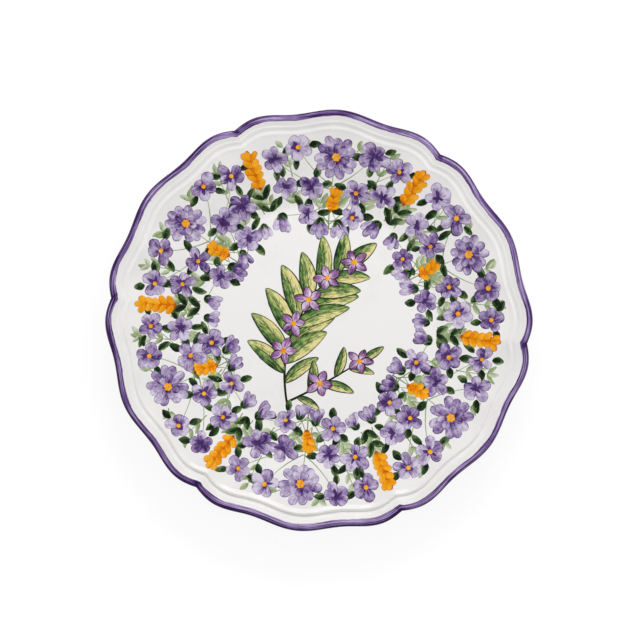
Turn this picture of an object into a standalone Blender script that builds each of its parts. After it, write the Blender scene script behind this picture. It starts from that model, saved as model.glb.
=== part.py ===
"""Salad plate in glazed earthenware: a flat well, a sloping flange and a moulded rim of six bracket lobes.

Metres, +Z up. The origin is the middle of the foot ring, on the surface that the plate stands on, and
the middle of one lobe lies on +Y. The plate is one fired clay body with four coats on it: white glaze
on the face, the back and the base, and coloured glaze round the lip. The foot ring's lower edge is
bare clay, wiped clean so that the plate doesn't stick to the kiln shelf.
"""

import math

import bmesh
import bpy
from mathutils import Matrix, Vector
from mathutils.geometry import intersect_line_line_2d

# Plan of the rim: each lobe swells in its middle, dips on both sides and swells again before the notch
RIM_RADIUS = 0.110  # at the middle of a lobe
LOBE_COUNT = 6
LOBE_DIP = 0.0023  # how far the two dips lie inside the middle
LOBE_SHOULDER = 0.0003  # how far the two shoulders stand outside the middle
NOTCH_DEPTH = 0.0022  # how far the notch lies inside the middle
DIP_PLACE = 0.41  # places along a half lobe, from 0 in its middle to 1 in the notch
SHOULDER_PLACE = 0.78
LOBE_FADE = 0.030  # width of flange over which the lobes fade into the round of the well

# Well and flange
WELL_RADIUS = 0.0605
WELL_FILLET = 0.009
FLANGE_SLOPE = math.radians(18.0)
FLOOR_THICKNESS = 0.0046
FLANGE_THICKNESS = 0.0048

# Moulding along the rim, as distances in from the edge and heights over the flange
BEAD_FOOT_INSET = 0.0117
BEAD_INSET = 0.0088
BEAD_HEIGHT = 0.0003
COVE_INSET = 0.0075
COVE_DEPTH = 0.0006
LIP_RISE = 0.0003
LIP_THICKNESS = 0.0042

# Foot ring
FOOT_RADIUS = 0.0590  # outside, at the ground
FOOT_WIDTH = 0.0042
FOOT_HEIGHT = 0.0036
FOOT_DRAFT = math.radians(10.0)
FOOT_EDGE_RADIUS = 0.0007
FOOT_ROOT_RADIUS = 0.0014
BARE_HEIGHT = 0.0012  # height of bare clay above the ground

# Coats
GLAZE_THICKNESS = 0.0004
SEAT_GAP = 0.0003  # kept between a coat and what it lies on or ends against
BAND_WIDTH = 0.0036  # coloured glaze in from the edge, on the face
BAND_WRAP = 0.0042  # coloured glaze in from the edge, on the back

# Fineness of the faceted surfaces
DIP_STEPS = 3  # from a lobe's middle to a dip, and from the dip to a shoulder
NOTCH_STEPS = 2  # from a shoulder to the notch
ARC_STEPS = 3
EASE_STEPS = 2
LIP_STEPS = 4

# Materials as linear colour and roughness
CLAY = ("fired_clay", (0.62, 0.42, 0.29), 0.85)
WHITE = ("white_glaze", (0.84, 0.83, 0.81), 0.14)
PURPLE = ("purple_glaze", (0.17, 0.10, 0.31), 0.16)

FLOOR_TOP = FOOT_HEIGHT + FLOOR_THICKNESS
LIP_RADIUS = LIP_THICKNESS / 2
THROUGH_FLANGE = Vector((math.sin(FLANGE_SLOPE), -math.cos(FLANGE_SLOPE)))  # from its face to its back


def ease(share):
    """0 to 1 for a share from 0 to 1, level at both ends."""
    return (1 - math.cos(math.pi * share)) / 2


def eased(x, stops):
    """The value at x of a curve that runs through the (x, value) stops and is level at each of them."""
    for (x0, value0), (x1, value1) in zip(stops, stops[1:]):
        if x <= x1:
            return value0 + (value1 - value0) * ease(max(0.0, (x - x0) / (x1 - x0)))
    return stops[-1][1]


def lobe_offset(place):
    """How far the rim lies outside RIM_RADIUS, at a place from 0 in a lobe's middle to 1 in the notch."""
    place = abs(place)
    if place <= SHOULDER_PLACE:
        return eased(place, [(0.0, 0.0), (DIP_PLACE, -LOBE_DIP), (SHOULDER_PLACE, LOBE_SHOULDER)])
    past = (place - SHOULDER_PLACE) / (1 - SHOULDER_PLACE)
    return LOBE_SHOULDER - (LOBE_SHOULDER + NOTCH_DEPTH) * (1 - math.cos(math.pi / 2 * past))


def lobe_share(radius):
    """How much of the lobes' shape the surface has at a radius: none in the well, all of it at the rim."""
    full = RIM_RADIUS - BEAD_FOOT_INSET
    return ease(min(1.0, max(0.0, (radius - full + LOBE_FADE) / LOBE_FADE)))


def flange_height(radius):
    """Height of the flange's plain face, without the rim's moulding."""
    return FLOOR_TOP + (radius - WELL_RADIUS) * math.tan(FLANGE_SLOPE)


def lip_crest():
    """The point where the lip's round edge leaves the face."""
    radius = RIM_RADIUS - LIP_RADIUS * (1 + math.sin(FLANGE_SLOPE))
    return Vector((radius, flange_height(radius) + LIP_RISE))


def face_point(radius):
    """A point on the finished face of the flange and its moulding."""
    moulding = [
        (RIM_RADIUS - BEAD_FOOT_INSET, 0.0),
        (RIM_RADIUS - BEAD_INSET, BEAD_HEIGHT),
        (RIM_RADIUS - COVE_INSET, -COVE_DEPTH),
        (lip_crest().x, LIP_RISE),
    ]
    return Vector((radius, flange_height(radius) + eased(radius, moulding)))


def steps_between(start, end, count):
    """count evenly spaced values or points after start, up to and including end."""
    return [start + (end - start) * step / count for step in range(1, count + 1)]


def arc(start, centre, turn, steps):
    """Points that follow start round a centre, up to and including the end of the turn."""
    angles = steps_between(0.0, turn, steps)
    return [centre + Matrix.Rotation(angle, 2) @ (start - centre) for angle in angles]


def fillet(before, corner, after, radius, steps):
    """Points of the round that blends two straight stretches at a corner, limited by the shorter one."""
    to_before = (before - corner).normalized()
    to_after = (after - corner).normalized()
    half_angle = to_before.angle(to_after) / 2
    room = min((before - corner).length, (after - corner).length)
    reach = min(radius / math.tan(half_angle), room)
    centre = corner + (to_before + to_after).normalized() * (reach / math.cos(half_angle))
    first = corner + to_before * reach
    last = corner + to_after * reach
    return [first, *arc(first, centre, -(first - centre).angle_signed(last - centre), steps)]


def face_stretch():
    """The finished face, from the edge of the flat floor to the coloured band."""
    middle = Vector((0.0, FLOOR_TOP))
    corner = Vector((WELL_RADIUS, FLOOR_TOP))
    bead_foot = face_point(RIM_RADIUS - BEAD_FOOT_INSET)
    points = fillet(middle, corner, bead_foot, WELL_FILLET, ARC_STEPS)
    points += steps_between(points[-1], bead_foot, ARC_STEPS)
    insets = [BEAD_FOOT_INSET, BEAD_INSET, COVE_INSET, BAND_WIDTH]
    for start, end in zip(insets, insets[1:]):
        points += [face_point(RIM_RADIUS - inset) for inset in steps_between(start, end, EASE_STEPS)]
    return points


def back_line():
    """Two points on the straight back of the flange: under the lip, and under the edge of the well."""
    under_lip = lip_crest() + THROUGH_FLANGE * LIP_THICKNESS
    return under_lip, Vector((WELL_RADIUS, FLOOR_TOP - FLANGE_THICKNESS / math.cos(FLANGE_SLOPE)))


def band_stretch():
    """The coloured band, over the lip from the face to the back."""
    crest = lip_crest()
    lip = [crest, *arc(crest, crest + THROUGH_FLANGE * LIP_RADIUS, -math.pi, LIP_STEPS)]
    under_lip, under_well = back_line()
    share = (under_lip.x - RIM_RADIUS + BAND_WRAP) / (under_lip.x - under_well.x)
    return [face_point(RIM_RADIUS - BAND_WIDTH), *lip, under_lip.lerp(under_well, share)]


def foot_corners():
    """The foot ring's four corners: its root on the back, its two lower edges and its root on the base."""
    outer = Vector((FOOT_RADIUS, 0.0))
    inner = Vector((FOOT_RADIUS - FOOT_WIDTH, 0.0))
    rise = Vector((math.tan(FOOT_DRAFT), 1.0)) * FLOOR_TOP
    under_lip, under_well = back_line()
    past_foot = under_lip.lerp(under_well, 2.0)
    back_root = Vector(intersect_line_line_2d(outer, outer + rise, under_lip, past_foot))
    base_root = inner + Vector((-math.tan(FOOT_DRAFT), 1.0)) * FOOT_HEIGHT
    return back_root, outer, inner, base_root


def at_height(low, high, height):
    """The point at a height on the straight line between two others."""
    return low.lerp(high, (height - low.y) / (high.y - low.y))


def under_stretches(band_end):
    """The finished back of the flange, the bare foot and the base, each ending where the next begins."""
    back_root, outer, inner, base_root = foot_corners()
    bare_out = at_height(outer, back_root, BARE_HEIGHT)
    bare_in = at_height(inner, base_root, BARE_HEIGHT)
    base_middle = Vector((0.0, FOOT_HEIGHT))
    root = fillet(band_end, back_root, bare_out, FOOT_ROOT_RADIUS, ARC_STEPS)
    back = [band_end, *steps_between(band_end, root[0], ARC_STEPS), *root[1:], bare_out]
    foot = [bare_out]
    foot += fillet(bare_out, outer, inner, FOOT_EDGE_RADIUS, EASE_STEPS)
    foot += fillet(outer, inner, bare_in, FOOT_EDGE_RADIUS, EASE_STEPS)
    base = [bare_in] + fillet(bare_in, base_root, base_middle, FOOT_ROOT_RADIUS, ARC_STEPS)
    return back, foot + [bare_in], base


def with_normals(stretches):
    """Each stretch's points paired with the way out of the plate there, smooth from stretch to stretch."""
    line = [point for stretch in stretches for point in stretch[:-1]] + [stretches[-1][-1]]
    line = [Vector((0.0, line[0].y))] + line + [Vector((0.0, line[-1].y))]
    normals = []
    for before, here, after in zip(line, line[1:], line[2:]):
        along = (here - before).normalized() + (after - here).normalized()
        normals.append(Vector((-along.y, along.x)).normalized())
    paired = []
    first = 0
    for stretch in stretches:
        paired.append(list(zip(stretch, normals[first : first + len(stretch)])))
        first += len(stretch) - 1
    return paired


def sunk(stretch, depth):
    """The stretch moved into the plate, as (radius, height, fine) for each of its rings."""
    coarse_to = RIM_RADIUS - BEAD_FOOT_INSET - LOBE_FADE / 2
    return [(*(point - normal * depth), point.x > coarse_to) for point, normal in stretch]


def trimmed(stretch, at_start, at_end):
    """The stretch with its ends drawn in along the surface by these lengths."""
    (first, first_normal), *between, (last, last_normal) = stretch
    between = [pair for pair in between if (pair[0] - first).length > at_start]
    between = [pair for pair in between if (pair[0] - last).length > at_end]
    first = first + Vector((first_normal.y, -first_normal.x)) * at_start
    last = last - Vector((last_normal.y, -last_normal.x)) * at_end
    return [(first, first_normal), *between, (last, last_normal)]


def ring_places():
    """(angle, place in the lobe) of a fine ring's points, some of them on every dip, shoulder and notch."""
    half = steps_between(0.0, DIP_PLACE, DIP_STEPS) + steps_between(DIP_PLACE, SHOULDER_PLACE, DIP_STEPS)
    half += steps_between(SHOULDER_PLACE, 1.0, NOTCH_STEPS)
    lobe = [-place for place in half[::-1]] + [0.0] + half[:-1]
    half_angle = math.pi / LOBE_COUNT
    return [
        (math.pi / 2 + (2 * number + place) * half_angle, place)
        for number in range(LOBE_COUNT)
        for place in lobe
    ]


def add_ring(mesh, radius, height, fine):
    """A ring of points that follows the lobes as far as its radius asks. A coarse one has half the points."""
    ring = []
    for angle, place in ring_places()[:: 1 if fine else 2]:
        reach = radius + lobe_offset(place) * lobe_share(radius)
        ring.append(mesh.verts.new((reach * math.cos(angle), reach * math.sin(angle), height)))
    return ring


def join_rings(mesh, first, second):
    """Faces between two rings, three to each coarse step where only one of them is fine."""
    if len(first) == len(second):
        for i in range(len(first)):
            mesh.faces.new((second[i - 1], second[i], first[i], first[i - 1]))
        return
    fine, coarse = (first, second) if len(first) > len(second) else (second, first)
    for i in range(len(coarse)):
        before, middle, after = fine[2 * i - 2], fine[2 * i - 1], fine[2 * i]
        left, right = coarse[i - 1], coarse[i]
        for corners in ((before, middle, left), (middle, right, left), (middle, after, right)):
            mesh.faces.new(corners if fine is second else corners[::-1])


def loft(name, rings, has_middle, material, plate):
    """A closed solid through the rings. One with a middle is capped there, and any other is a ring itself."""
    mesh = bmesh.new()
    loops = [add_ring(mesh, *ring) for ring in rings]
    for first, second in zip(loops, loops[1:]):
        join_rings(mesh, first, second)
    if has_middle:
        mesh.faces.new(loops[0])
        mesh.faces.new(loops[-1][::-1])
    else:
        join_rings(mesh, loops[-1], loops[0])
    data = bpy.data.meshes.new(name)
    mesh.to_mesh(data)
    mesh.free()
    data.shade_smooth()
    data.set_sharp_from_angle(angle=math.radians(40))
    data.materials.append(material)
    solid = bpy.data.objects.new(name, data)
    solid.parent = plate
    bpy.context.scene.collection.objects.link(solid)


def coat(stretch, ends_in_middle=False):
    """Rings round a coat of glaze, along its outside and its underside, from the middle and back to it."""
    outside = sunk(stretch, 0.0)
    underside = sunk(stretch, GLAZE_THICKNESS)[::-1]
    return underside + outside if ends_in_middle else outside + underside


def plain_material(name, colour, roughness):
    material = bpy.data.materials.new(name)
    material.use_nodes = True
    shader = material.node_tree.nodes["Principled BSDF"]
    shader.inputs["Base Color"].default_value = (*colour, 1.0)
    shader.inputs["Roughness"].default_value = roughness
    shader.inputs["Metallic"].default_value = 0.0
    return material


def build():
    for old in list(bpy.data.objects):
        bpy.data.objects.remove(old)
    plate = bpy.data.objects.new("salad_plate", None)
    bpy.context.scene.collection.objects.link(plate)
    clay = plain_material(*CLAY)
    white = plain_material(*WHITE)
    purple = plain_material(*PURPLE)

    band = band_stretch()
    face, band, back, foot, base = with_normals([face_stretch(), band, *under_stretches(band[-1])])

    under_glaze = GLAZE_THICKNESS + SEAT_GAP
    glazed = sunk(face, under_glaze) + sunk(band[1:], under_glaze) + sunk(back[1:], under_glaze)
    body = glazed + sunk(foot, 0.0) + sunk(base, under_glaze)
    loft("clay_body", body, True, clay, plate)
    loft("face_glaze", coat(face), True, white, plate)
    loft("rim_band", coat(trimmed(band, SEAT_GAP, SEAT_GAP)), False, purple, plate)
    loft("back_glaze", coat(trimmed(back, 0.0, SEAT_GAP)), False, white, plate)
    loft("base_glaze", coat(trimmed(base, SEAT_GAP, 0.0), ends_in_middle=True), True, white, plate)


build()
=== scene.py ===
"""Looks of the salad plate: white glaze, lip band, painted flowers, bare foot, light and camera.

Metres, +Z up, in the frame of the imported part: the plate stands on z = 0 and one lobe points to +Y.
The glazed surfaces repeat the solids' section at a finer step, with the unevenness of hand work.
The painting lies on the face as thin closed brush strokes, gathered into one piece for each colour.
"""

import functools
import random
from math import atan2, ceil, cos, pi, radians, sin, sqrt, tan

import bpy
import numpy as np
from mathutils import Matrix, Vector
from mathutils.geometry import intersect_line_line_2d
from numpy.linalg import norm

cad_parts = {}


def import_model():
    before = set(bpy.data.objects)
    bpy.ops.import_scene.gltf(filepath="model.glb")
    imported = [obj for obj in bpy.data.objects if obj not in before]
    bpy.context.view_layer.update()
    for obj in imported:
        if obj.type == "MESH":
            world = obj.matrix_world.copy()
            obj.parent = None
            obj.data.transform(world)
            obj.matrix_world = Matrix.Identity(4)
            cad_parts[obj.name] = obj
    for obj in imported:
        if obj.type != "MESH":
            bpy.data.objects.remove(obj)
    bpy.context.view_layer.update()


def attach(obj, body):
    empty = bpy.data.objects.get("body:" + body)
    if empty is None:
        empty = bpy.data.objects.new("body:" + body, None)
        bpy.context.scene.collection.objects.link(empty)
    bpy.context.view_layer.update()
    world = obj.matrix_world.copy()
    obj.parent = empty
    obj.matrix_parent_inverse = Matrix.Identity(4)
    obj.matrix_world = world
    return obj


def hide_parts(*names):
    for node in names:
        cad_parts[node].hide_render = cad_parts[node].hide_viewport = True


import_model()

# Plan of the rim; places are shares of the way from a lobe's middle to its notch
RIM_RADIUS = 0.110
LOBE_COUNT = 6
LOBE_DIP = 0.0023
LOBE_SHOULDER = 0.0003
NOTCH_DEPTH = 0.0022
DIP_PLACE = 0.41
SHOULDER_PLACE = 0.78
LOBE_FADE = 0.030

# Unevenness of the rim: waves round it, their height, and a crest's plan angle in degrees
UNEVEN = (
    (2, 0.00063, 159.0),
    (3, 0.00022, 105.0),
    (4, 0.00027, 89.0),
    (5, 0.00024, 3.0),
)

# Well and flange
WELL_RADIUS = 0.0605
WELL_FILLET = 0.009
FLANGE_SLOPE = radians(18.0)
FLOOR_THICKNESS = 0.0046
FLANGE_THICKNESS = 0.0048

# Moulding along the rim
BEAD_FOOT_INSET = 0.0118
BEAD_INSET = 0.0092
BEAD_HEIGHT = 0.0004
COVE_INSET = 0.0078
COVE_DEPTH = 0.0007
SHOULDER_INSET = 0.0060
SHOULDER_DEPTH = 0.0001
LIP_RISE = 0.0003
LIP_THICKNESS = 0.0042

# Hand work on the moulding: crispest towards -Y, and towards +Y softest, further in and swollen
CRISPEST = 1.55
SOFTEST = 0.3
MOULDING_DRIFT = 0.0011
SWELL_HEIGHT = 0.00014
SWELL_REACH = 0.0010

# Foot ring
FOOT_RADIUS = 0.0590
FOOT_WIDTH = 0.0042
FOOT_HEIGHT = 0.0036
FOOT_DRAFT = radians(10.0)
FOOT_EDGE_RADIUS = 0.0007
FOOT_ROOT_RADIUS = 0.0014
BARE_HEIGHT = 0.0012

# Coats: the band's piece is a little wider than its paint, whose edge is uneven
GLAZE_THICKNESS = 0.0003
BAND_WIDTH = 0.0056
BAND_WRAP = 0.0042
UNDER_GLAZE = 0.00035  # depth of the clay below the glazed surfaces

# Fineness of the surfaces
ANGLE_STEPS = 360
FLOOR_STEP = 0.006
FLANGE_STEP = 0.0025
MOULDING_STEP = 0.0003
ARC_STEPS = 8
LIP_STEPS = 16
BAND_STEPS = 4
PLAN_ROUNDS = 4
SHARP_ANGLE = radians(50)
ON_AXIS = 1e-9

# Brush strokes, as heights over the glaze
PAINT_BASE = 0.00003
PAINT_LEVEL = 0.00001
LEVEL_SPREAD = 0.6
PAINT_CROWN = 0.00001
PAINT_SINK = 0.00004
PAINT_EDGE_SINK = 0.00001

# Brush strokes in the plan; a tremor is its height, waves along the stroke and seed's weight
STROKE_STEP = 0.0012
STROKE_ROWS = (8, 48)
WIDE_STROKE = 0.0012
WIDE_COLUMNS = 8
NARROW_COLUMNS = 4
TREMORS = ((0.05, 1.7, 1), (0.03, 4.3, 3))
PAINTING_SEED = 7

# Photograph: where the plate's middle is, how large it is and how far it is turned, clockwise
PHOTO_PIXELS = 640
PLATE_PIXEL = (318.34, 320.69)
RIM_PIXELS = 212.3
PLATE_TURN = radians(6.25)
CAMERA_HEIGHT = 2.4
SENSOR_MM = 36.0

FLOOR_TOP = FOOT_HEIGHT + FLOOR_THICKNESS
WELL_EDGE = WELL_RADIUS - WELL_FILLET * tan(FLANGE_SLOPE / 2)
FILLET_REACH = WELL_FILLET * sin(FLANGE_SLOPE)
LIP_RADIUS = LIP_THICKNESS / 2
THROUGH_FLANGE = Vector((sin(FLANGE_SLOPE), -cos(FLANGE_SLOPE)))
CREST_RADIUS = RIM_RADIUS - LIP_RADIUS * (1 + sin(FLANGE_SLOPE))
UP = pi / 2  # the plan angle of the lobe on +Y
MM = 0.001


def linear(red, green, blue):
    """A shader's linear colour, from values of 0 to 255."""
    shares = [value / 255 for value in (red, green, blue)]
    return (*[s / 12.92 if s <= 0.04045 else ((s + 0.055) / 1.055) ** 2.4 for s in shares], 1.0)


def polar(angle, radius):
    """A point of the plan."""
    return np.array([cos(angle), sin(angle)]) * radius


# Section and plan of the plate

def ease(share):
    return (1 - np.cos(pi * np.clip(share, 0.0, 1.0))) / 2


def eased(x, stops):
    """The value at x of a curve through (x, value) stops, level at each of them."""
    value = stops[0][1]
    for (x0, value0), (x1, value1) in zip(stops, stops[1:]):
        value = value + (value1 - value0) * ease((x - x0) / (x1 - x0))
    return value


def lobe_offset(angle):
    """How far the rim lies outside RIM_RADIUS at a plan angle."""
    uneven = 0.0
    for waves, height, crest in UNEVEN:
        uneven = uneven + height * np.cos(waves * (angle - radians(crest)))
    turns = (angle - UP) * LOBE_COUNT / (2 * pi)
    place = 2 * np.abs(turns - np.round(turns))
    past = np.clip((place - SHOULDER_PLACE) / (1 - SHOULDER_PLACE), 0.0, 1.0)
    swell = eased(place, [(0.0, 0.0), (DIP_PLACE, -LOBE_DIP), (SHOULDER_PLACE, LOBE_SHOULDER)])
    return uneven + swell - (LOBE_SHOULDER + NOTCH_DEPTH) * (1 - np.cos(pi / 2 * past))


def lobe_share(radius):
    """How much of the lobes' shape the surface has at a radius."""
    return ease((radius - RIM_RADIUS + BEAD_FOOT_INSET + LOBE_FADE) / LOBE_FADE)


def moulding_height(radius, drift=0.0):
    """How far the bead, the cove and the lip stand over the flange."""
    stops = [
        (RIM_RADIUS - BEAD_FOOT_INSET, 0.0),
        (RIM_RADIUS - BEAD_INSET - drift, BEAD_HEIGHT),
        (RIM_RADIUS - COVE_INSET - drift / 2, -COVE_DEPTH),
        (RIM_RADIUS - SHOULDER_INSET - drift, -SHOULDER_DEPTH),
        (CREST_RADIUS, LIP_RISE),
    ]
    return eased(radius, stops)


def softening(radius, angle):
    """How far hand work puts the moulding off its section."""
    upper = (1 + np.sin(angle)) / 2
    drift = MOULDING_DRIFT * upper
    crispness = SOFTEST + (CRISPEST - SOFTEST) * (1 - upper) ** 2
    off_shoulder = np.abs(radius - RIM_RADIUS + SHOULDER_INSET + drift / 2)
    swell = SWELL_HEIGHT * upper * (1 - ease(off_shoulder / SWELL_REACH))
    return crispness * moulding_height(radius, drift) + swell - moulding_height(radius)


def face_height(radius):
    """Height of the finished face in the section, out to the lip's crest."""
    along = np.clip(radius - WELL_EDGE, 0.0, FILLET_REACH)
    well = FLOOR_TOP + WELL_FILLET - np.sqrt(WELL_FILLET ** 2 - along ** 2)
    flange = FLOOR_TOP + (radius - WELL_RADIUS) * tan(FLANGE_SLOPE)
    return np.maximum(well, flange) + moulding_height(radius)


def face_share(radius, height):
    """1 for a point of the section on the face, falling to 0 on the back."""
    return float(np.clip(1 - (face_height(radius) - height) / LIP_THICKNESS, 0.0, 1.0))


def surface_height(x, y):
    """Height of the finished face over points of the plan."""
    reach = np.hypot(x, y)
    angle = np.arctan2(y, x)
    offset = lobe_offset(angle)
    radius = reach
    for _ in range(PLAN_ROUNDS):
        radius = reach - offset * lobe_share(radius)
    return face_height(radius) + softening(radius, angle)


def surface_normals(x, y):
    """The way out of the face over points of the plan."""
    step = 0.05 * MM
    across = (surface_height(x + step, y) - surface_height(x - step, y)) / (2 * step)
    along = (surface_height(x, y + step) - surface_height(x, y - step)) / (2 * step)
    normals = np.stack([-across, -along, np.ones_like(x)], axis=-1)
    return normals / norm(normals, axis=-1, keepdims=True)


# Section as points, from the middle of the face over the lip to the middle of the base

def steps_between(start, end, count):
    return [start + (end - start) * step / count for step in range(1, count + 1)]


def arc(start, centre, turn, steps):
    angles = steps_between(0.0, turn, steps)
    return [centre + Matrix.Rotation(angle, 2) @ (start - centre) for angle in angles]


def fillet(before, corner, after, radius):
    """Points of the round that blends two straight lines at a corner."""
    to_before = (before - corner).normalized()
    to_after = (after - corner).normalized()
    half_angle = to_before.angle(to_after) / 2
    reach = radius / tan(half_angle)
    centre = corner + (to_before + to_after).normalized() * (reach / cos(half_angle))
    first = corner + to_before * reach
    last = corner + to_after * reach
    return [first, *arc(first, centre, -(first - centre).angle_signed(last - centre), ARC_STEPS)]


def face_point(radius):
    return Vector((radius, float(face_height(radius))))


def face_stretch():
    """The finished face from the middle of the well to the band."""
    radii = [0.0]
    stops = [
        (WELL_EDGE, FLOOR_STEP),
        (WELL_EDGE + FILLET_REACH, MOULDING_STEP),
        (RIM_RADIUS - BEAD_FOOT_INSET, FLANGE_STEP),
        (RIM_RADIUS - BAND_WIDTH, MOULDING_STEP),
    ]
    for end, step in stops:
        radii += steps_between(radii[-1], end, ceil((end - radii[-1]) / step))
    return [face_point(radius) for radius in radii]


def back_line():
    """Two points of the flange's straight back, under the lip and under the well."""
    under_lip = face_point(CREST_RADIUS) + THROUGH_FLANGE * LIP_THICKNESS
    return under_lip, Vector((WELL_RADIUS, FLOOR_TOP - FLANGE_THICKNESS / cos(FLANGE_SLOPE)))


def band_stretch():
    """The finished lip, from the band's edge on the face to its edge on the back."""
    start = RIM_RADIUS - BAND_WIDTH
    radii = [start, *steps_between(start, CREST_RADIUS, BAND_STEPS)]
    crest = face_point(CREST_RADIUS)
    lip = arc(crest, crest + THROUGH_FLANGE * LIP_RADIUS, -pi, LIP_STEPS)
    under_lip, under_well = back_line()
    share = (under_lip.x - RIM_RADIUS + BAND_WRAP) / (under_lip.x - under_well.x)
    end = under_lip.lerp(under_well, share)
    face_side = [face_point(radius) for radius in radii]
    return [*face_side, *lip, *steps_between(under_lip, end, ARC_STEPS)]


def at_height(low, high, height):
    return low.lerp(high, (height - low.y) / (high.y - low.y))


def under_stretches(band_end):
    """The finished back, the bare foot and the base, each ending where the next begins."""
    outer = Vector((FOOT_RADIUS, 0.0))
    inner = Vector((FOOT_RADIUS - FOOT_WIDTH, 0.0))
    rise = Vector((tan(FOOT_DRAFT), 1.0)) * FLOOR_TOP
    under_lip, under_well = back_line()
    past_foot = under_lip.lerp(under_well, 2.0)
    back_root = Vector(intersect_line_line_2d(outer, outer + rise, under_lip, past_foot))
    base_root = inner + Vector((-tan(FOOT_DRAFT), 1.0)) * FOOT_HEIGHT
    bare_out = at_height(outer, back_root, BARE_HEIGHT)
    bare_in = at_height(inner, base_root, BARE_HEIGHT)
    middle = Vector((0.0, FOOT_HEIGHT))
    root = fillet(band_end, back_root, bare_out, FOOT_ROOT_RADIUS)
    back_steps = ceil((band_end - root[0]).length / FLANGE_STEP)
    back = [band_end, *steps_between(band_end, root[0], back_steps), *root[1:], bare_out]
    outer_edge = fillet(bare_out, outer, inner, FOOT_EDGE_RADIUS)
    inner_edge = fillet(outer, inner, bare_in, FOOT_EDGE_RADIUS)
    base = [bare_in, *fillet(bare_in, base_root, middle, FOOT_ROOT_RADIUS)]
    base += steps_between(base[-1], middle, ceil(base[-1].x / FLOOR_STEP))
    return back, [bare_out, *outer_edge, *inner_edge, bare_in], base


def with_normals(stretches):
    """Each stretch's points, paired with the way out of the plate there."""
    run = [point for stretch in stretches for point in stretch[:-1]] + [stretches[-1][-1]]
    mirrored = [Vector((-run[1].x, run[1].y)), *run, Vector((-run[-2].x, run[-2].y))]
    normals = []
    for before, here, after in zip(mirrored, mirrored[1:], mirrored[2:]):
        along = (here - before).normalized() + (after - here).normalized()
        normals.append(Vector((-along.y, along.x)).normalized())
    paired = []
    first = 0
    for stretch in stretches:
        paired.append(list(zip(stretch, normals[first:])))
        first += len(stretch) - 1
    return paired


def sunk(stretch, depth):
    return [point - normal * depth for point, normal in stretch]


def coat(stretch, ends_in_middle=False):
    """Section points round a coat of glaze, from the axis and back where it reaches it."""
    outside = sunk(stretch, 0.0)
    underside = sunk(stretch, GLAZE_THICKNESS)[::-1]
    return underside + outside if ends_in_middle else outside + underside


# Surfaces turned from the section

def added(name, data):
    """A new object in the scene."""
    thing = bpy.data.objects.new(name, data)
    bpy.context.scene.collection.objects.link(thing)
    return thing


def placed(name, mesh, material):
    """The mesh as a piece of the plate."""
    mesh.materials.append(material)
    piece = added(name, mesh)
    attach(piece, "root")
    return piece


def turned(name, section, material):
    """A closed piece turned from a section that ends on the axis or is a loop."""
    angles = UP + 2 * pi * np.arange(ANGLE_STEPS) / ANGLE_STEPS
    offset = lobe_offset(angles)
    points = []
    rings = []
    for radius, height in section:
        if radius < ON_AXIS:
            rings.append([len(points)] * ANGLE_STEPS)
            points.append((0.0, 0.0, height))
            continue
        reach = radius + offset * lobe_share(radius)
        rings.append(range(len(points), len(points) + ANGLE_STEPS))
        heights = height + face_share(radius, height) * softening(radius, angles)
        points += zip(reach * np.cos(angles), reach * np.sin(angles), heights)
    pairs = list(zip(rings, rings[1:]))
    if len(rings[0]) == len(set(rings[0])):
        pairs.append((rings[-1], rings[0]))
    faces = []
    for first, second in pairs:
        for i in range(ANGLE_STEPS):
            corners = (second[i - 1], second[i], first[i], first[i - 1])
            faces.append(list(dict.fromkeys(corners)))
    mesh = bpy.data.meshes.new(name)
    mesh.from_pydata(points, [], faces)
    mesh.shade_smooth()
    mesh.set_sharp_from_angle(angle=SHARP_ANGLE)
    return placed(name, mesh, material)


def add_vectors(mesh, name, values):
    attribute = mesh.attributes.new(name, "FLOAT_VECTOR", "POINT")
    attribute.data.foreach_set("vector", np.asarray(values, np.float32).ravel())


def mark_band(piece):
    """Gives the band's points their millimetres across the lip and past a notch."""
    points = np.array([vertex.co for vertex in piece.data.vertices])
    angles = np.arctan2(points[:, 1], points[:, 0])
    inset = RIM_RADIUS + lobe_offset(angles) - np.hypot(points[:, 0], points[:, 1])
    lip_height = face_point(CREST_RADIUS).y + THROUGH_FLANGE.y * LIP_RADIUS
    inset = np.where(points[:, 2] < lip_height, -inset, inset)
    lobe = 2 * pi / LOBE_COUNT
    turn = angles - UP - lobe / 2
    past_notch = (turn - lobe * np.round(turn / lobe)) * RIM_RADIUS
    add_vectors(piece.data, "band", np.stack([inset / MM, past_notch / MM, 0 * inset], axis=-1))


# Brush strokes

rng = random.Random(PAINTING_SEED)


class Paint:
    """The strokes of one colour, gathered for one mesh."""

    def __init__(self, name, material):
        self.name = name
        self.material = material
        self.strokes = []
        self.faces = []
        self.count = 0

    def add(self, points, normals, disc, brush, faces):
        self.faces += [[corner + self.count for corner in face] for face in faces]
        self.count += len(points)
        self.strokes.append((points, normals, disc, brush))

    def finish(self):
        points, normals, disc, brush = (np.concatenate(values) for values in zip(*self.strokes))
        mesh = bpy.data.meshes.new(self.name)
        mesh.from_pydata(points.tolist(), [], self.faces)
        mesh.shade_smooth()
        add_vectors(mesh, "disc", disc)
        add_vectors(mesh, "brush", brush)
        self.add_bake_map(mesh)
        mesh.normals_split_custom_set_from_vertices(normals.tolist())
        placed(self.name, mesh, self.material)

    def add_bake_map(self, mesh):
        """A map with a cell for each stroke, so that none overlap in a baked image."""
        cells = ceil(sqrt(len(self.strokes)))
        corners = []
        for number, (_, _, disc, _) in enumerate(self.strokes):
            cell = np.array([number % cells, number // cells])
            corners.append((cell + 0.5 + 0.45 * disc[:, :2]) / cells)
        loops = np.empty(len(mesh.loops), np.int32)
        mesh.loops.foreach_get("vertex_index", loops)
        layer = mesh.uv_layers.new(name="OFBake")
        layer.data.foreach_set("uv", np.concatenate(corners)[loops].astype(np.float32).ravel())


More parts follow.
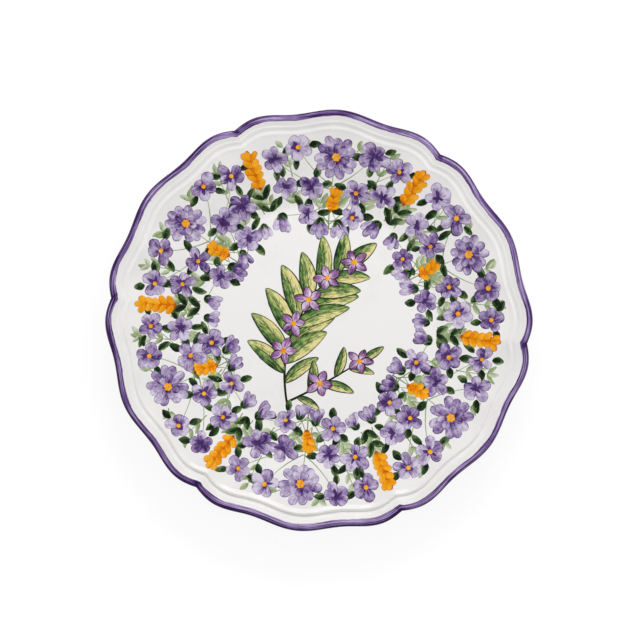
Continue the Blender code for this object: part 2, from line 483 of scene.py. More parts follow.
@functools.cache
def lens_faces(rows, columns):
    """Faces of a closed lens: its points are its two ends, its top's rows, then those below."""
    top = np.zeros((rows + 1, columns + 1), int)
    top[-1] = 1
    top[1:-1] = 2 + np.arange((rows - 1) * (columns + 1)).reshape(rows - 1, columns + 1)
    below = top.copy()
    inside = np.arange((rows - 1) * (columns - 1)).reshape(rows - 1, columns - 1)
    below[1:-1, 1:-1] = top.max() + 1 + inside
    faces = []
    for grid, order in ((top, 1), (below, -1)):
        for i in range(rows):
            for j in range(columns):
                corners = [grid[i, j], grid[i + 1, j], grid[i + 1, j + 1], grid[i, j + 1]]
                faces.append([int(corner) for corner in dict.fromkeys(corners)][::order])
    return faces


def lens_values(over, under):
    """What the points of a closed lens have, in the order of lens_faces."""
    rows_over = over[1:-1].reshape(-1, 3)
    rows_under = under[1:-1, 1:-1].reshape(-1, 3)
    return np.concatenate([over[:1, 0], over[-1:, 0], rows_over, rows_under])


def egg(turn, share):
    """Half-width of a petal, full and round at its end."""
    return np.sin(turn) * (0.72 + 0.42 * share)


def blade(turn, share):
    """Half-width of a leaf, pointed at both ends."""
    return np.sin(turn) ** 1.5 * (1.12 - 0.24 * share)


def dab(turn, share):
    """Half-width of a round dab."""
    return np.sin(turn)


def line(turn, share):
    """Half-width of a fine line that thins as the brush lifts."""
    return np.minimum(1.0, 5 * np.sin(turn)) * (1.0 - 0.45 * share)


def straight(start, end):
    return start, (start + end) / 2, end


def bowed(start, bend, end, share):
    """A point on the way from start to end, drawn aside by bend."""
    return (1 - share) ** 2 * start + 2 * share * (1 - share) * bend + share ** 2 * end


def bowed_way(start, bend, end, share):
    """Which way it runs there."""
    return (1 - share) * (bend - start) + share * (end - bend)


def stroke_lift(disc, level, seed):
    """How far a stroke's top stands over the glaze, which its edge sinks into."""
    bulge = 1 - disc[..., 0] ** 2 - disc[..., 1] ** 2
    lift = PAINT_BASE + PAINT_LEVEL * (level + LEVEL_SPREAD * seed) + PAINT_CROWN * bulge
    lift[:, [0, -1]] = -PAINT_EDGE_SINK
    lift[[0, -1]] = -PAINT_EDGE_SINK
    return lift


def stroke(paint, start, bend, end, width, outline, tone, level, beside=None):
    """One brush stroke in the plan, from start to end, drawn aside by bend.

    tone is the pigment's thickness at the start and at the end, and how much more lies to the left.
    beside is another stroke's outline and width, and this one's place across it.
    """
    length = norm(bend - start) + norm(end - bend)
    rows = int(np.clip(length / STROKE_STEP, *STROKE_ROWS))
    columns = WIDE_COLUMNS if width > WIDE_STROKE else NARROW_COLUMNS
    seed = rng.random()
    turn = np.linspace(0.0, pi, rows + 1)[:, None]
    side = np.sin(pi / 2 * (2 * np.arange(columns + 1)[None, :] / columns - 1))
    share = (1 - np.cos(turn)) / 2
    middle = bowed(start, bend, end, share)
    along = bowed_way(start, bend, end, share)
    along = along / norm(along, axis=1, keepdims=True)
    left = np.stack([-along[:, 1], along[:, 0]], axis=-1)
    if beside:
        other_outline, other_width, place = beside
        middle = middle + left * other_outline(turn, share) * other_width / 2 * place
    tremor = 1.0
    for height, waves, weight in TREMORS:
        tremor = tremor + height * np.sin(2 * pi * (waves * share + weight * seed))
    half = width / 2 * outline(turn, share) * tremor
    x = middle[:, :1] + left[:, :1] * half * side
    y = middle[:, 1:] + left[:, 1:] * half * side
    disc = np.stack([-np.cos(turn) + 0 * side, side * np.sin(turn), 0 * x + seed], axis=-1)
    density = tone[0] + (tone[1] - tone[0]) * np.sqrt(share) + tone[2] * disc[..., 1]
    brush = np.stack([share * length / MM + 0 * side, half * side / MM, density], axis=-1)
    ground = surface_height(x, y)
    normals = surface_normals(x, y)
    top = np.stack([x, y, ground + stroke_lift(disc, level, seed)], axis=-1)
    below = np.stack([x, y, ground - PAINT_SINK], axis=-1)
    pairs = ((top, below), (normals, normals), (disc, disc), (brush, brush))
    paint.add(*(lens_values(*pair) for pair in pairs), lens_faces(rows, columns))


# Materials

def node(tree, kind, inputs=(), **settings):
    """A new node, with each input a value or another node's output."""
    made = tree.nodes.new(kind)
    for name, value in settings.items():
        setattr(made, name, value)
    for name, value in dict(inputs).items():
        if isinstance(value, bpy.types.NodeSocket):
            tree.links.new(value, made.inputs[name])
        else:
            made.inputs[name].default_value = value
    return made


def maths(tree, operation, *values, clamp=False):
    inputs = dict(enumerate(values))
    return node(tree, "ShaderNodeMath", inputs, operation=operation, use_clamp=clamp).outputs[0]


def product(tree, first, second):
    return maths(tree, "MULTIPLY", first, second)


def vector_maths(tree, operation, *values):
    return node(tree, "ShaderNodeVectorMath", dict(enumerate(values)), operation=operation).outputs


def weighted(tree, total, shares):
    """A total, and shares of how far other values lie from their neutral ones."""
    for value, weight, neutral in shares:
        part = product(tree, maths(tree, "SUBTRACT", value, neutral), weight)
        total = maths(tree, "ADD", total, part)
    return total


def ramp(tree, value, low, high, start=0.0, end=1.0):
    inputs = {"Value": value, "From Min": low, "From Max": high, "To Min": start, "To Max": end}
    made = node(tree, "ShaderNodeMapRange", inputs, interpolation_type="SMOOTHSTEP")
    return made.outputs["Result"]


def noise(tree, vector, scale, detail=2.0, roughness=0.5):
    inputs = {"Vector": vector, "Scale": scale, "Detail": detail, "Roughness": roughness}
    return node(tree, "ShaderNodeTexNoise", inputs).outputs["Fac"]


def combined(tree, x, y, z=0.0):
    return node(tree, "ShaderNodeCombineXYZ", {"X": x, "Y": y, "Z": z}).outputs["Vector"]


def object_place(tree):
    return node(tree, "ShaderNodeTexCoord").outputs["Object"]


def parts_of(tree, name):
    """The three values of a point attribute."""
    vector = node(tree, "ShaderNodeAttribute", attribute_name=name).outputs["Vector"]
    return node(tree, "ShaderNodeSeparateXYZ", {"Vector": vector}).outputs.values()


def colours(tree, value, steps):
    """Colours blended along a value, from steps of (place, red, green, blue)."""
    blend = node(tree, "ShaderNodeValToRGB", {"Fac": value})
    elements = blend.color_ramp.elements
    while len(elements) < len(steps):
        elements.new(0.5)
    for element, (place, *colour) in zip(elements, steps):
        element.position = place
        element.color = linear(*colour)
    return blend.outputs["Color"]


def mixed(tree, share, first, second):
    inputs = {"Factor": share, 6: first, 7: second}
    return node(tree, "ShaderNodeMix", inputs, data_type="RGBA").outputs[2]


def new_material(name, roughness, specular=0.5):
    material = bpy.data.materials.new(name)
    material.use_nodes = True
    tree = material.node_tree
    shader = tree.nodes["Principled BSDF"]
    shader.inputs["Roughness"].default_value = roughness
    shader.inputs["Specular IOR Level"].default_value = specular
    return material, tree, shader


def bumped(tree, shader, height, strength, distance):
    inputs = {"Strength": strength, "Distance": distance, "Height": height}
    tree.links.new(node(tree, "ShaderNodeBump", inputs).outputs["Normal"], shader.inputs["Normal"])


def smeared(tree, shader, value):
    """Makes a surface duller where a noise is high."""
    roughness = shader.inputs["Roughness"].default_value
    uneven = ramp(tree, value, 0.3, 0.7, 0.75 * roughness, min(1.0, 1.3 * roughness))
    tree.links.new(uneven, shader.inputs["Roughness"])


def glazed(tree, shader, colour):
    """Gives a surface its colour, and the slow waves and fine orange peel of glaze."""
    tree.links.new(colour, shader.inputs["Base Color"])
    place = object_place(tree)
    waves = noise(tree, place, 90.0)
    peel = noise(tree, place, 700.0, 1.0)
    bumped(tree, shader, maths(tree, "MULTIPLY_ADD", peel, 0.12, waves), 0.35, 0.0002)
    smeared(tree, shader, waves)


GLAZE_WHITE = (234, 232, 230)
# Whites of the glaze, for its random tone and for the painted shade that greys the flange
GLAZE_WHITES = [(0.25, 230, 228, 226), (0.40, *GLAZE_WHITE), (0.65, 240, 238, 236)]


def white_glaze():
    """Opaque white glaze, uneven in tone, with a few pinholes, and painted shade: greyer on the
    flange than in the well.
    """
    material, tree, shader = new_material("white_glaze", roughness=0.13, specular=0.3)
    place = object_place(tree)
    flat = vector_maths(tree, "MULTIPLY", place, (1.0, 1.0, 0.0))["Vector"]
    reach = vector_maths(tree, "LENGTH", flat)["Value"]
    cloud = noise(tree, place, 55.0, 3.0)
    # Painted shade: the glaze is whiter in the well and greyer on the tilted flange
    painted_well_light = ramp(tree, reach, WELL_RADIUS, WELL_RADIUS + 0.003, 0.15, 0.02)
    tone = colours(tree, maths(tree, "ADD", cloud, painted_well_light), GLAZE_WHITES)
    speck = noise(tree, place, 1500.0, 0.0)
    pinhole = ramp(tree, speck, 0.80, 0.86, 0.0, 0.5)
    glazed(tree, shader, mixed(tree, pinhole, tone, linear(190, 180, 168)))
    return material


def pigment(name, steps, streak=0.30, blot=0.25, edge=0.30):
    """Brushed pigment under the gloss, with streaks, blots, and a line where it pooled."""
    material, tree, shader = new_material(name, roughness=0.16, specular=0.09)
    disc_along, disc_across, seed = parts_of(tree, "disc")
    along, across, density = parts_of(tree, "brush")
    shift = product(tree, seed, 97.0)
    drawn_out = product(tree, along, 0.16)
    streaks = noise(tree, combined(tree, drawn_out, across, shift), 1.5, 3.0, 0.6)
    blots = noise(tree, combined(tree, along, across, shift), 0.32)
    reach = vector_maths(tree, "LENGTH", combined(tree, disc_along, disc_across))["Value"]
    pooled = ramp(tree, reach, 0.80, 0.98)
    shares = [(streaks, streak * 2, 0.5), (blots, blot * 2, 0.5), (pooled, edge, 0.2)]
    glazed(tree, shader, colours(tree, weighted(tree, density, shares), steps))
    return material


def petal_paint():
    steps = [
        (0.00, 212, 203, 221),
        (0.28, 180, 165, 196),
        (0.52, 150, 129, 170),
        (0.76, 106, 81, 136),
        (1.00, 58, 33, 86),
    ]
    return pigment("lavender_paint", steps, streak=0.6, blot=0.75, edge=0.4)


def accent_paint():
    steps = [(0.0, 122, 98, 152), (0.4, 80, 52, 112), (1.0, 44, 20, 70)]
    return pigment("violet_paint", steps)


def mauve_paint():
    steps = [
        (0.00, 242, 230, 238),
        (0.30, 212, 186, 214),
        (0.55, 156, 114, 164),
        (0.80, 100, 54, 108),
        (1.00, 62, 26, 68),
    ]
    return pigment("mauve_paint", steps, streak=0.6, blot=0.3, edge=0.2)


def leaf_paint():
    steps = [
        (0.00, 138, 152, 112),
        (0.25, 84, 108, 62),
        (0.50, 44, 70, 36),
        (0.75, 18, 40, 16),
        (1.00, 4, 16, 2),
    ]
    return pigment("green_paint", steps, streak=0.5, blot=0.5, edge=-0.2)


def wash_paint():
    steps = [
        (0.00, 230, 216, 154),
        (0.22, 170, 180, 108),
        (0.45, 96, 132, 72),
        (0.70, 48, 80, 38),
        (1.00, 18, 38, 16),
    ]
    return pigment("sage_paint", steps, streak=0.75, blot=0.35, edge=0.2)


def berry_paint():
    steps = [
        (0.00, 248, 182, 62),
        (0.35, 238, 158, 10),
        (0.65, 224, 126, 3),
        (1.00, 180, 72, 2),
    ]
    return pigment("orange_paint", steps, streak=0.4, blot=0.4, edge=0.5)


def stem_paint():
    steps = [(0.0, 206, 212, 190), (0.5, 152, 168, 122), (1.0, 92, 118, 70)]
    return pigment("stem_paint", steps, streak=0.4, blot=0.4, edge=0.3)


def outline_paint():
    steps = [(0.0, 88, 84, 58), (0.4, 38, 32, 26), (1.0, 12, 8, 10)]
    return pigment("outline_paint", steps, streak=0.25, edge=0.1)


PAINTED_SHADE_SIDE = radians(196.0)  # plan angle where the band's outer part is painted darkest, a painted shade that is lighter on the far side
BROAD_BAND = (-0.089, -0.097)  # towards -Y the band grows broader, and its outer part is painted darker and its inner part lighter, a painted shade
BAND_DENSITY = 0.53
BAND_PURPLES = [
    (0.00, 186, 168, 206),
    (0.25, 154, 133, 178),
    (0.50, 120, 94, 148),
    (0.75, 82, 51, 114),
    (1.00, 40, 8, 70),
]


def notch_pools(tree, past_notch, depth, loads):
    """How the lip's colour gathers towards a notch, and pools in it."""
    slowing = ramp(tree, past_notch, -24.0, -1.0)
    leaving = ramp(tree, past_notch, 0.4, 2.6, 1.0, 0.0)
    off_pool = maths(tree, "ABSOLUTE", weighted(tree, past_notch, [(depth, 0.7, 0.4)]))
    off_pool = weighted(tree, off_pool, [(loads, 5.0, 0.55)])
    pool = ramp(tree, off_pool, 0.2, 1.6, 1.0, 0.0)
    outward = ramp(tree, depth, 1.2, 3.4, 1.0, 0.3)
    return product(tree, slowing, leaving), product(tree, pool, outward)


def lip_band():
    """Purple brushed round the lip, with streaks, dark edges, a pool in each notch, and painted shade
    on its outer part.
    """
    material, tree, shader = new_material("purple_band", roughness=0.14, specular=0.12)
    inset, past_notch, _ = parts_of(tree, "band")
    place = object_place(tree)
    parts = node(tree, "ShaderNodeSeparateXYZ", {"Vector": place}).outputs
    depth = maths(tree, "ABSOLUTE", inset)

    def along_lip(stretch, squeeze):
        x, y = (product(tree, parts[axis], stretch / MM) for axis in "XY")
        return combined(tree, x, y, product(tree, inset, squeeze))

    streaks = noise(tree, along_lip(0.04, 2.0), 1.0, 3.0, 0.6)
    loads = noise(tree, along_lip(0.6, 0.6), 0.15, 3.0)
    tremble = noise(tree, along_lip(1.0, 0.0), 0.10, 3.0)
    gathering, pool = notch_pools(tree, past_notch, depth, loads)
    broad = ramp(tree, parts["Y"], *BROAD_BAND)
    widths = [(tremble, 1.5, 0.5), (gathering, -0.35, 0.0), (pool, -0.5, 0.0), (broad, -0.6, 0.0)]
    edge = weighted(tree, depth, widths)
    # Painted shade: towards -Y the band's outer part darker and its inner part lighter
    painted_lower_shade = product(tree, broad, ramp(tree, depth, 1.4, 2.7, 0.25, -0.25))
    # Painted shade: the band's outer part darker towards one side of the plate and lighter towards
    # the other
    painted_shade_way = (*polar(PAINTED_SHADE_SIDE, 1 / RIM_RADIUS), 0.0)
    painted_side_shade = vector_maths(tree, "DOT_PRODUCT", place, painted_shade_way)["Value"]
    shares = [
        (streaks, 3.3, 0.5),
        (loads, 1.0, 0.5),
        (ramp(tree, depth, 0.5, 1.5, 0.5, 0.0), 1.0, 0.0),
        (ramp(tree, edge, 2.3, 3.1, 0.0, 0.2), 1.0, 0.1),
        (gathering, 0.15, 0.0),
        (pool, 0.5, 0.0),
        (painted_lower_shade, 1.0, 0.0),
        (product(tree, painted_side_shade, ramp(tree, depth, 1.0, 2.4, 0.2, 0.0)), 1.0, 0.0),
    ]
    purple = colours(tree, weighted(tree, BAND_DENSITY, shares), BAND_PURPLES)
    covered = ramp(tree, edge, 3.20, 3.55, 1.0, 0.0)
    glazed(tree, shader, mixed(tree, covered, linear(*GLAZE_WHITE), purple))
    return material


def bare_clay():
    """Bare fired clay, warm and matt, with fine grog."""
    material, tree, shader = new_material("bare_clay", roughness=0.9)
    place = object_place(tree)
    cloud = noise(tree, place, 180.0, 4.0)
    steps = [(0.30, 188, 152, 122), (0.55, 206, 172, 140), (0.75, 220, 190, 160)]
    tree.links.new(colours(tree, cloud, steps), shader.inputs["Base Color"])
    bumped(tree, shader, noise(tree, place, 2200.0), 0.5, 0.0001)
    smeared(tree, shader, cloud)
    return material


# Painted motifs, in the plan

# Leaves of the sprays, in millimetres
LEAF_LENGTH = 7.0
LEAF_WIDTH = 3.9
NOTCH_LEAF_LENGTH = 8.0
PALE_LEAF_LENGTH = 6.0
PALE_LEAF_WIDTH = 2.6
LEAF_PAIRS = 3

# Levels of paint over the glaze
FLOWER_LEVEL = 4
EYE_LEVEL = 15
STAR_LEVEL = 14

# One paint for each colour
stems = Paint("painted_stems", stem_paint())
leaves = Paint("painted_leaves", leaf_paint())
washes = Paint("painted_washes", wash_paint())
petals = Paint("painted_petals", petal_paint())
accents = Paint("painted_accents", accent_paint())
mauves = Paint("painted_mauves", mauve_paint())
berries = Paint("painted_berries", berry_paint())
outlines = Paint("painted_outlines", outline_paint())


def sway(reach):
    """A chance amount either way."""
    return rng.uniform(-reach, reach)


def varied(value, share):
    return value * (1 + share * sway(1))


def heading(start, end):
    """The plan angle of the way from one point to another."""
    return atan2(*(end - start)[::-1])


def paint_limit(point):
    """How far out the painting may go towards a point, short of the moulding."""
    return RIM_RADIUS + lobe_offset(atan2(point[1], point[0])) - BEAD_FOOT_INSET


def stem(start, end, sag, width=0.6 * MM):
    """A fine stem that bows to the left by a share of its length."""
    along = end - start
    bend = (start + end) / 2 + np.array([-along[1], along[0]]) * sag
    stroke(stems, start, bend, end, width, line, (0.9, 0.5, 0.0), 0)


def leaf(root, angle, length, width, level=2):
    """A leaf in two touches, the blade and a darker core. None is drawn on the moulding."""
    end = root + polar(angle, length)
    if norm(end) > paint_limit(end):
        return
    bend = (root + end) / 2 + polar(angle + pi / 2, length * sway(0.16))
    tone = rng.uniform(0.15, 0.5)
    core_end = root + (end - root) * rng.uniform(0.5, 0.8)
    core_tone = (0.95, tone + 0.3, 0.1)
    stroke(leaves, root, bend, end, width, blade, (tone + 0.35, tone, 0.25), level)
    stroke(leaves, root, bend, core_end, 0.5 * width, blade, core_tone, level + 1)


def pale_leaf(root, angle, length, width):
    """A leaf in one thin wash, behind the flowers."""
    end = root + polar(angle, length)
    if norm(end) > paint_limit(end):
        return
    bend = (root + end) / 2 + polar(angle + pi / 2, length * sway(0.2))
    tone = rng.uniform(0.15, 0.55)
    stroke(stems, root, bend, end, width, blade, (tone + 0.4, tone, 0.3), 1)


def leaf_spray(start, end):
    """Pale leaves in pairs along a stem, with one at its end."""
    stem(start, end, sway(0.1))
    way = heading(start, end)
    for number in range(LEAF_PAIRS):
        root = start + (end - start) * (number + 1) / LEAF_PAIRS
        for side in (-1, 1):
            turn = way + side * rng.uniform(0.5, 0.9)
            length = varied(PALE_LEAF_LENGTH, 0.2) * MM
            width = varied(PALE_LEAF_WIDTH, 0.15) * MM
            pale_leaf(root, turn, length, width)
    pale_leaf(end, way, PALE_LEAF_LENGTH * MM, PALE_LEAF_WIDTH * MM)


def dot(paint, middle, reach, size, tone, level):
    stroke(paint, middle - reach, middle, middle + reach, size, dab, tone, level)


def berry(place, size, level):
    turn = rng.uniform(0, 2 * pi)
    reach = polar(turn, varied(size, 0.08) / 2)
    tone = rng.uniform(0.25, 0.5)
    dot(berries, place, reach, size, (tone + 0.3, tone - 0.2, 0.1), level)


def petal(middle, angle, inner, outer, width, pale, level):
    """A petal in one watery stroke, deep at its root, at times with a dark touch."""
    start = middle + polar(angle, inner)
    end = middle + polar(angle + sway(0.1), outer)
    end = end * min(1.0, paint_limit(end) / norm(end))
    aside = polar(angle + pi / 2, 1.0)
    bend = (start + end) / 2 + aside * (outer - inner) * sway(0.15)
    tip_tone = pale + sway(0.2)
    tone = (tip_tone + 0.7, tip_tone, rng.choice((-1, 1)) * rng.uniform(0.05, 0.25))
    stroke(petals, start, bend, end, width, egg, tone, level)
    if rng.random() < 0.6:
        tip = start + (end - start) * rng.uniform(0.3, 0.6)
        touch = (start + tip) / 2 + aside * 0.15 * width * sway(1)
        touch_width = width * rng.uniform(0.2, 0.38)
        stroke(accents, start, touch, tip, touch_width, blade, (1.0, 0.3, 0.0), level + 5)


def rosette(middle, size):
    """Five broad petals seen from above, with an orange eye or a deep one."""
    turn = rng.uniform(0, 2 * pi)
    pale = rng.uniform(0.14, 0.50)
    for number in range(5):
        angle = turn + 2 * pi * number / 5 + sway(0.18)
        reach = varied(size / 2, 0.15)
        width = varied(0.42 * size, 0.15)
        petal(middle, angle, 0.03 * size, reach, width, pale, FLOWER_LEVEL + number)
    if rng.random() < 0.6:
        berry(middle, 0.17 * size, EYE_LEVEL)
    else:
        reach = polar(turn, 0.07 * size)
        dot(accents, middle, reach, 0.13 * size, (0.9, 0.6, 0.0), EYE_LEVEL)


def aster(middle, size):
    """A larger flower with two rows of narrow petals."""
    turn = rng.uniform(0, 2 * pi)
    pale = rng.uniform(0.18, 0.40)
    for number in range(11):
        angle = turn + 2 * pi * number / 11 + sway(0.08)
        reach = varied(size / 2, 0.1)
        level = FLOWER_LEVEL + number % 3
        petal(middle, angle, 0.1 * size, reach, 0.25 * size, pale, level)
    for number in range(7):
        angle = turn + 2 * pi * (number + 0.4) / 7
        reach = varied(0.30 * size, 0.1)
        level = FLOWER_LEVEL + 9 + number % 3
        petal(middle, angle, 0.05 * size, reach, 0.2 * size, pale + 0.15, level)
    for number in range(6):
        place = middle + polar(turn + pi * number / 3, 0.06 * size)
        berry(place, 0.09 * size, FLOWER_LEVEL + 18)


def bud(root, angle, size):
    """A half-open flower seen from the side: three petals in a green cup."""
    pale = rng.uniform(0.12, 0.5)
    for number, turn in enumerate((-0.45, 0.45, 0.0)):
        reach = varied(size, 0.12)
        petal(root, angle + turn, 0.0, reach, 0.5 * size, pale, FLOWER_LEVEL + number)
    cup = root - polar(angle, 0.15 * size)
    for turn in (-0.6, 0.6):
        leaf(cup, angle + turn, 0.5 * size, 0.26 * size, FLOWER_LEVEL + 9)


def berry_sprig(start, end, count, size):
    """Plump orange buds in pairs along a twig, each touching the next."""
    way = heading(start, end)
    stem(start, end, 0.05)
    under = straight(start, end + polar(way, size))
    stroke(berries, *under, 1.4 * size, dab, (0.8, 0.8, 0.1), 5)
    for number in range(count):
        root = start + (end - start) * (number + 0.4) / count
        turns = (-0.75, 0.75) if number < count - 1 else (-0.75, 0.75, 0.0)
        for turn in turns:
            angle = way + turn + sway(0.2)
            tip = root + polar(angle, varied(1.5, 0.12) * size)
            tone = rng.uniform(0.2, 0.4)
            tones = (tone + 0.5, tone, 0.15)
            width = varied(size, 0.12)
            stroke(berries, *straight(root, tip), width, egg, tones, 6 + number)


# Flowers on both sides of a lobe's middle: degrees from it, and radius and size in millimetres
ROSETTES = (
    (12.8, 90.2, 15.5),
    (22.5, 88.5, 14.5),
    (9.5, 70.5, 14.5),
    (20.5, 72.0, 14.0),
    (13.0, 56.0, 13.2),
)
BUDS = ((25.0, 58.5, 8.6), (5.0, 52.5, 8.6))

# Pale leaves on both sides of it: degrees from it, and radii of the stem's root and end
LEAF_SPRAYS = (
    (3.0, 56, 64),
    (16.5, 76, 92),
    (16.0, 60, 68),
    (27.0, 62, 72),
    (6.5, 90, 93),
)

# Sprigs of orange buds: radii of root and end, pairs of buds, their size, and the lean in radians
NOTCH_SPRIG = (74, 92, 5, 3.7, 0.03)
INNER_SPRIG = (57, 67, 3, 3.2, 0.04)

# Along a spray's axis and the notch beside it: radii, a stem's reach and the end flower's size
SPRAY_FOOT = 48
BUD_FORK = 62
STEM_REACH = 20
ASTER_RADIUS = 85.4
ASTER_SIZE = 21.8
NOTCH_LEAVES = (62, 69)


def spray_rosette(axis, side, degrees, radius, size):
    """A rosette on its stem, with three leaves round it."""
    angle = axis + side * radians(degrees + sway(1.2))
    middle = polar(angle, (radius + sway(1.6)) * MM)
    root = polar(axis, max(SPRAY_FOOT, radius - STEM_REACH) * MM)
    stem(root, middle, side * 0.12)
    back = heading(middle, root)
    for turn in (-1.0, 1.0, 2.6):
        way = back + turn + sway(0.4)
        length = varied(LEAF_LENGTH, 0.2) * MM
        width = varied(LEAF_WIDTH, 0.15) * MM
        leaf(middle + polar(way, 0.36 * size * MM), way, length, width)
    rosette(middle, varied(size, 0.1) * MM)


def spray_bud(axis, side, degrees, radius, size):
    """A bud on its stem, which nods towards the well."""
    angle = axis + side * radians(degrees + sway(1.0))
    root = polar(angle, (radius + sway(1.5)) * MM)
    stem(polar(axis, BUD_FORK * MM), root, side * 0.15)
    way = angle + pi + side * rng.uniform(-0.4, 0.6)
    bud(root, way, varied(size, 0.12) * MM)


def spray(axis):
    """A spray of flowers that fans out from the well towards one lobe."""
    stem(polar(axis, SPRAY_FOOT * MM), polar(axis, ASTER_RADIUS * MM), 0.04, 0.7 * MM)
    for degrees, low, high in LEAF_SPRAYS:
        for side in (-1, 1):
            angle = axis + side * radians(degrees)
            end = polar(angle + side * rng.uniform(0.0, 0.06), high * MM)
            leaf_spray(polar(angle, low * MM), end)
    for flowers, draw in ((ROSETTES, spray_rosette), (BUDS, spray_bud)):
        for degrees, radius, size in flowers:
            for side in (-1, 1):
                draw(axis, side, degrees, radius, size)
    aster(polar(axis, ASTER_RADIUS * MM), varied(ASTER_SIZE, 0.06) * MM)
    notch = axis + pi / LOBE_COUNT
    for way, (low, high, pairs, size, lean) in ((notch, NOTCH_SPRIG), (axis, INNER_SPRIG)):
        end = polar(way + sway(lean), high * MM)
        berry_sprig(polar(way, low * MM), end, pairs, size * MM)
    for radius in NOTCH_LEAVES:
        for side in (-1, 1):
            way = notch + side * rng.uniform(0.5, 0.9)
            length = varied(NOTCH_LEAF_LENGTH, 0.15) * MM
            leaf(polar(notch, radius * MM), way, length, LEAF_WIDTH * MM)


def outlined(paint, root, bend, end, width, tone, level):
    """A pointed stroke with a fine dark line along both its edges."""
    stroke(paint, root, bend, end, width, blade, tone, level)
    dark = (0.9, 0.3, 0.0)
    for side in (-1, 1):
        beside = (blade, width, side * rng.uniform(0.9, 1.05))
        thickness = varied(0.75, 0.3) * MM
        stroke(outlines, root, bend, end, thickness, line, dark, level + 1, beside)


def long_leaf(root, angle, length, width, bow, level):
    """A leaf washed from cream to deep green across its width, outlined and ribbed."""
    end = root + polar(angle, length)
    bend = (root + end) / 2 + polar(angle + pi / 2, bow * length)
    tone = rng.uniform(0.3, 0.5)
    tones = (tone + 0.15, tone - 0.1, 0.4)
    outlined(washes, root, bend, end, width, tones, level)
    over = level + 1
    rib_end = root + (end - root) * rng.uniform(0.75, 0.95)
    stroke(outlines, root, bend, rib_end, 0.5 * MM, line, (0.7, 0.2, 0.0), over)
    for number in range(3):
        rib = bowed(root, bend, end, 0.22 + 0.2 * number + sway(0.05))
        for side in (-1, 1):
            tip = rib + polar(angle + side * rng.uniform(0.4, 0.7), varied(0.38, 0.25) * width)
            stroke(outlines, *straight(rib, tip), 0.4 * MM, line, (0.5, 0.1, 0.0), over)


def star(middle, size, level):
    """An outlined blossom of five pointed petals, deep at the tips."""
    turn = rng.uniform(0, 2 * pi)
    for number in range(5):
        angle = turn + 2 * pi * number / 5 + sway(0.12)
        root = middle + polar(angle, 0.04 * size)
        end = middle + polar(angle, varied(size / 2, 0.1))
        bend = (root + end) / 2 + polar(angle + pi / 2, size * sway(0.04))
        tone = (0.1, rng.uniform(0.65, 0.9), sway(0.2))
        width = varied(0.3, 0.12) * size
        outlined(mauves, root, bend, end, width, tone, level + 2 * number)
    berry(middle, 0.2 * size, level + 14)


# Branches in the well, in millimetres right of its middle and above it in the picture:
# start, bend and end, number of leaves and their length
BRANCHES = (
    (((-16.5, -42.5), (2.0, -34.0), (24.0, -20.0)), 6, 17.0),
    (((-16.0, -45.0), (-25.0, 1.0), (15.0, 29.0)), 15, 29.0),
)
STAR_SIZE = 15


def branch(points, leaf_count, leaf_length):
    """A leafy branch in flower, upright in the picture."""
    up = polar(UP + PLATE_TURN, MM)
    right = polar(PLATE_TURN, MM)
    start, bend, end = (right * x + up * y for x, y in points)
    stroke(outlines, start, bend, end, 1.3 * MM, line, (0.6, 0.4, 0.0), 1)
    for number in range(leaf_count):
        share = 0.14 + 0.84 * number / (leaf_count - 1)
        root = bowed(start, bend, end, share)
        along = bowed_way(start, bend, end, share)
        side = 1 if number % 2 else -1
        if number == leaf_count - 1:
            side = 0
        way = atan2(along[1], along[0]) + side * radians(varied(56 - 16 * share, 0.12))
        length = varied(0.7 + 0.3 * sin(pi * share), 0.08) * leaf_length * MM
        width = varied(0.32, 0.12) * length
        long_leaf(root, way, length, width, -0.12 * side, 2 + 3 * (number % 4))
        if number % 3 == 1:
            place = root + polar(way - side * 0.8, 0.4 * leaf_length * MM)
            star(place, varied(STAR_SIZE, 0.1) * MM, STAR_LEVEL)


def painting():
    """A spray on every lobe, and the branches in the well."""
    for lobe in range(LOBE_COUNT):
        spray(UP + 2 * pi * lobe / LOBE_COUNT)
    for points, leaf_count, leaf_length in BRANCHES:
        branch(points, leaf_count, leaf_length)
    for paint in (stems, leaves, washes, petals, accents, mauves, berries, outlines):
        paint.finish()


# Plate

def plate():
    """The clay and its coats, each in the place of its solid."""
    white = white_glaze()
    band = band_stretch()
    stretches = with_normals([face_stretch(), band, *under_stretches(band[-1])])
    face, band, back, foot, base = stretches
    # Sunk straight down, so that nothing folds
    face = [(point, Vector((0.0, 1.0))) for point, _ in face]
    upper = [*face, *band[1:], *back[1:]]
    body = [*sunk(upper, UNDER_GLAZE), *sunk(foot, 0.0), *sunk(base, UNDER_GLAZE)]
    pieces = {
        "clay_body": turned("bare_body", body, bare_clay()),
        "face_glaze": turned("face_coat", coat(face), white),
        "rim_band": turned("lip_coat", coat(band), lip_band()),
        "back_glaze": turned("back_coat", coat(back), white),
        "base_glaze": turned("base_coat", coat(base, ends_in_middle=True), white),
    }
    for name, piece in pieces.items():
        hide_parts(name)
    mark_band(pieces["rim_band"])


# Stage, light and camera

PICTURE_UP = Vector((*polar(UP + PLATE_TURN, 1.0), 0.0))
PICTURE_RIGHT = Vector((*polar(PLATE_TURN, 1.0), 0.0))
WHITE = (1.0, 1.0, 1.0, 1.0)
FLOOR_REACH = 6.0
FLOOR_GREY = 0.22
FLOOR_GLOW = 0.84
LOW_LIGHT = 0.3
SIDE_LIGHT = 1.45
TOP_LIGHT = 0.36
SOFTBOX_SIZE = (0.6, 0.28)
SOFTBOX_PLACE = (0.12, 0.64, 0.5)  # to the right, up the picture and over the floor
SOFTBOX_WATTS = 3.1
FAR_LIMIT = 50.0


def seen_directly(tree):
    """1 for rays from the camera, or sent on by a gloss or a clear surface."""
    path = node(tree, "ShaderNodeLightPath").outputs
    seen = maths(tree, "ADD", path["Is Camera Ray"], path["Is Glossy Ray"])
    return maths(tree, "ADD", seen, path["Is Transmission Ray"], clamp=True)


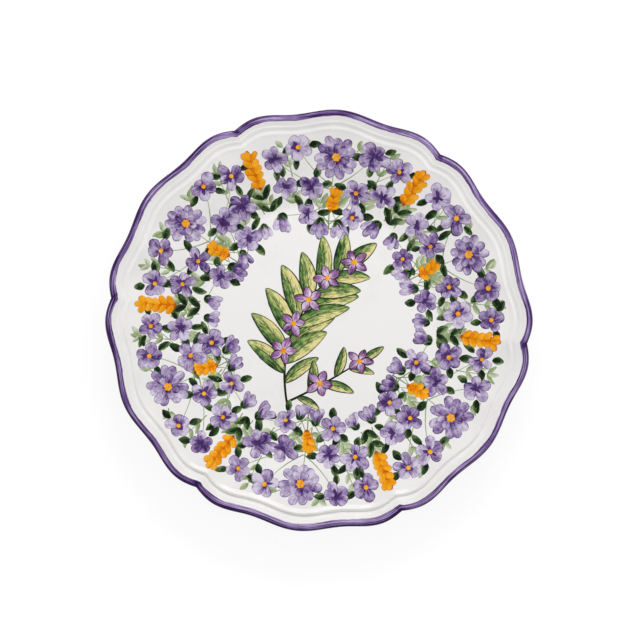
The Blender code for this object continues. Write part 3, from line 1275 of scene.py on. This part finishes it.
def floor():
    """A floor that looks white, and keeps the plate's shadow."""
    mesh = bpy.data.meshes.new("floor")
    signs = ((-1, -1), (1, -1), (1, 1), (-1, 1))
    corners = [(x * FLOOR_REACH, y * FLOOR_REACH, 0.0) for x, y in signs]
    mesh.from_pydata(corners, [], [(0, 1, 2, 3)])
    material, tree, shader = new_material("floor_white", roughness=0.9, specular=0.0)
    shader.inputs["Base Color"].default_value = (FLOOR_GREY, FLOOR_GREY, FLOOR_GREY, 1.0)
    shader.inputs["Emission Color"].default_value = WHITE
    glow = product(tree, seen_directly(tree), FLOOR_GLOW)
    tree.links.new(glow, shader.inputs["Emission Strength"])
    mesh.materials.append(material)
    ground = added("floor", mesh)


def world():
    """Soft light from all round, brightest part-way up, and plain white where seen."""
    studio = bpy.data.worlds.new("studio")
    studio.use_nodes = True
    tree = studio.node_tree
    way = node(tree, "ShaderNodeTexCoord").outputs["Generated"]
    height = node(tree, "ShaderNodeSeparateXYZ", {"Vector": way}).outputs["Z"]
    ring = ramp(tree, height, 0.20, 0.50, LOW_LIGHT, SIDE_LIGHT)
    dimming = ramp(tree, height, 0.55, 0.80, 1.0, TOP_LIGHT / SIDE_LIGHT)
    light = product(tree, ring, dimming)
    inputs = {"Factor": seen_directly(tree), 2: light, 3: 1.0}
    strength = node(tree, "ShaderNodeMix", inputs).outputs[0]
    shader = tree.nodes["Background"]
    shader.inputs["Color"].default_value = WHITE
    tree.links.new(strength, shader.inputs["Strength"])
    bpy.context.scene.world = studio


def aimed(thing, place, target, up):
    """Stands a lamp or camera at a place, turned to a target."""
    back = (Vector(place) - Vector(target)).normalized()
    right = Vector(up).cross(back).normalized()
    turn = Matrix((right, back.cross(right), back)).transposed()
    thing.matrix_world = Matrix.Translation(place) @ turn.to_4x4()


def softbox():
    """A soft light past the top of the picture, fading a little across the plate."""
    lamp = bpy.data.lights.new("softbox", "AREA")
    lamp.shape = "RECTANGLE"
    lamp.size, lamp.size_y = SOFTBOX_SIZE
    lamp.energy = SOFTBOX_WATTS
    right, up, height = SOFTBOX_PLACE
    place = PICTURE_UP * up + PICTURE_RIGHT * right + Vector((0.0, 0.0, height))
    aimed(added("softbox", lamp), place, (0.0, 0.0, 0.0), (0.0, 0.0, 1.0))


def camera():
    """A camera straight above, framed as the photograph is."""
    rim_height = face_point(CREST_RADIUS).y
    pixel = RIM_RADIUS / RIM_PIXELS
    lens = bpy.data.cameras.new("camera")
    lens.sensor_width = SENSOR_MM
    lens.lens = SENSOR_MM * CAMERA_HEIGHT / (PHOTO_PIXELS * pixel)
    lens.clip_end = FAR_LIMIT
    eye = added("camera", lens)
    aim = PICTURE_RIGHT * (PHOTO_PIXELS / 2 - PLATE_PIXEL[0]) * pixel
    aim += PICTURE_UP * (PLATE_PIXEL[1] - PHOTO_PIXELS / 2) * pixel
    aimed(eye, aim + Vector((0.0, 0.0, rim_height + CAMERA_HEIGHT)), aim, PICTURE_UP)
    bpy.context.scene.camera = eye


plate()
painting()
floor()
world()
softbox()
camera()
bpy.context.scene.view_settings.view_transform = "Standard"
